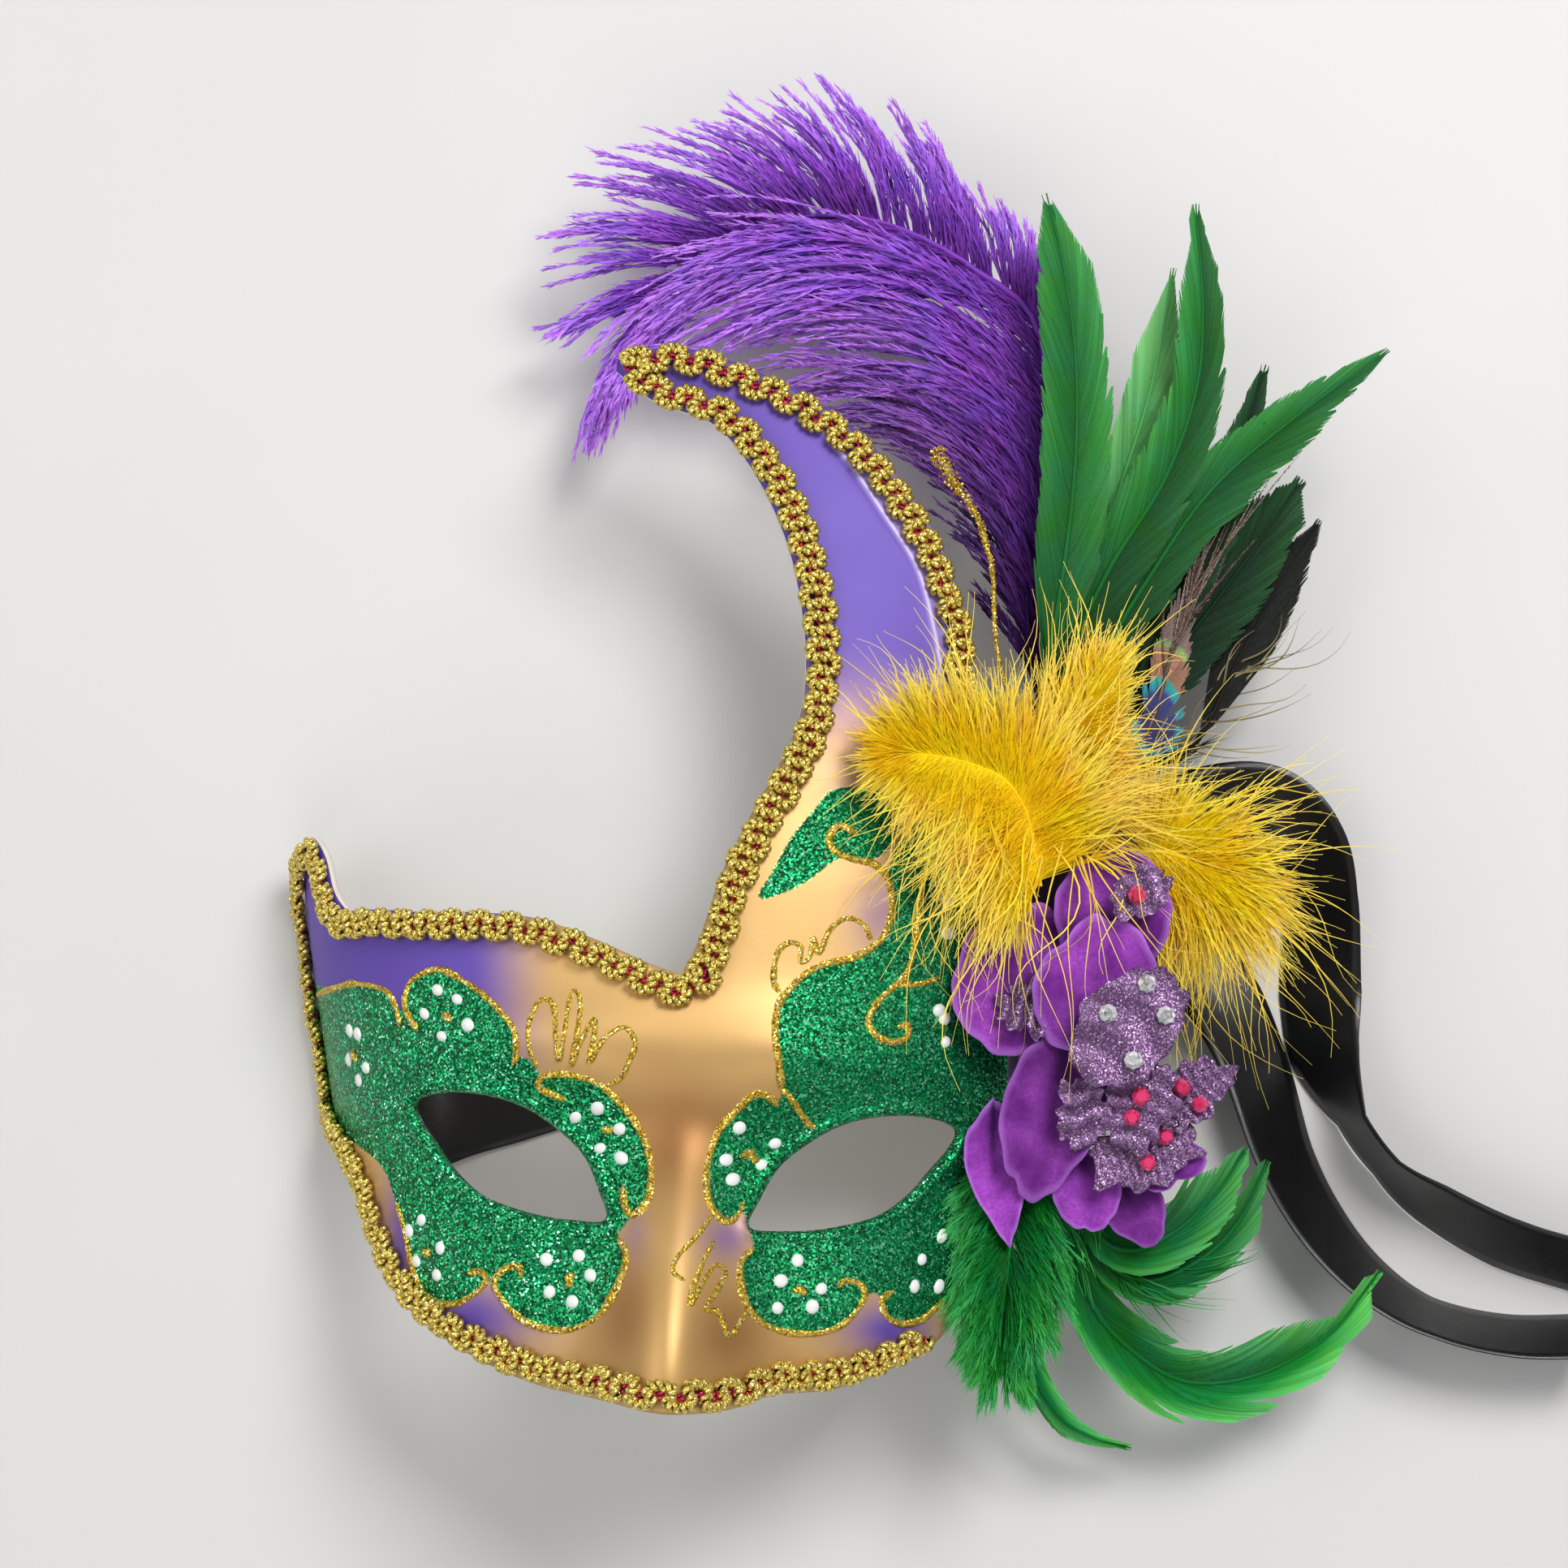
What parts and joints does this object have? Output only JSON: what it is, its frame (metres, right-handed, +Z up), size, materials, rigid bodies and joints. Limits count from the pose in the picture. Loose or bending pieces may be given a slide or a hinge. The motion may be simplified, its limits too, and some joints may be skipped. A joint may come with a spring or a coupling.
{
  "type": "feathered carnival half mask",
  "caption": "Moulded half mask with a curled crest, braided edges, eye holes, a feather and velvet flower spray on one temple and satin ties.",
  "frame": {"origin": "middle of the footprint of the lying mask with its feathers, without the loose ties, on the surface it lies on", "axes": "+Z up out of the face, +Y from the chin edge to the crest, +X towards the flowered temple"},
  "size_m": [0.2932, 0.2919, 0.0817],
  "materials": {
    "mask_paint": "gold paint with green glitter and purple airbrush",
    "gold_braid": "metallic gold gimp",
    "purple_plume": "dyed ostrich",
    "gold_glitter": "gold glitter",
    "green_feather": "dyed feather",
    "dark_feather": "dyed feather",
    "black_feather": "dyed feather",
    "peacock_feather": "iridescent feather",
    "yellow_marabou": "dyed down",
    "green_marabou": "dyed down",
    "petal_velvet": "velvet",
    "petal_glitter": "glitter cloth",
    "clear_stone": "foil-backed cut glass",
    "pink_stone": "foil-backed cut glass",
    "black_satin": "satin",
    "felt": "felt"
  },
  "bodies": {
    "root": {"mask_shell": "mask_paint", "felt_pad": "felt", "ostrich_plume": "purple_plume", "gold_sprig": "gold_glitter", "black_feather": "black_feather", "peacock_feather": "peacock_feather", "green_marabou": "green_marabou", "ribbon_left": "black_satin", "ribbon_right": "black_satin", "braid_crest_inner": "gold_braid", "braid_brow": "gold_braid", "braid_side": "gold_braid", "braid_crest_outer": "gold_braid", "green_feather_1": "green_feather", "green_feather_2": "green_feather", "green_feather_3": "green_feather", "green_feather_4": "green_feather", "dark_feather_1": "dark_feather", "dark_feather_2": "dark_feather", "green_hackle_1": "green_feather", "green_hackle_2": "green_feather", "green_hackle_3": "green_feather", "yellow_marabou_1": "yellow_marabou", "yellow_marabou_2": "yellow_marabou", "yellow_marabou_3": "yellow_marabou", "petal_1": "petal_velvet", "petal_2": "petal_velvet", "petal_3": "petal_velvet", "petal_4": "petal_velvet", "petal_5": "petal_velvet", "petal_6": "petal_velvet", "petal_7": "petal_velvet", "petal_8": "petal_velvet", "glitter_petal_1": "petal_glitter", "glitter_petal_2": "petal_glitter", "glitter_petal_3": "petal_glitter", "glitter_petal_4": "petal_glitter", "glitter_petal_5": "petal_glitter", "glitter_petal_6": "petal_glitter", "rhinestone_clear_1": "clear_stone", "rhinestone_clear_2": "clear_stone", "rhinestone_clear_3": "clear_stone", "rhinestone_clear_4": "clear_stone", "rhinestone_pink_1": "pink_stone", "rhinestone_pink_2": "pink_stone", "rhinestone_pink_3": "pink_stone", "rhinestone_pink_4": "pink_stone", "rhinestone_pink_5": "pink_stone", "rhinestone_pink_6": "pink_stone", "rhinestone_pink_7": "pink_stone"}
  },
  "joints": []
}
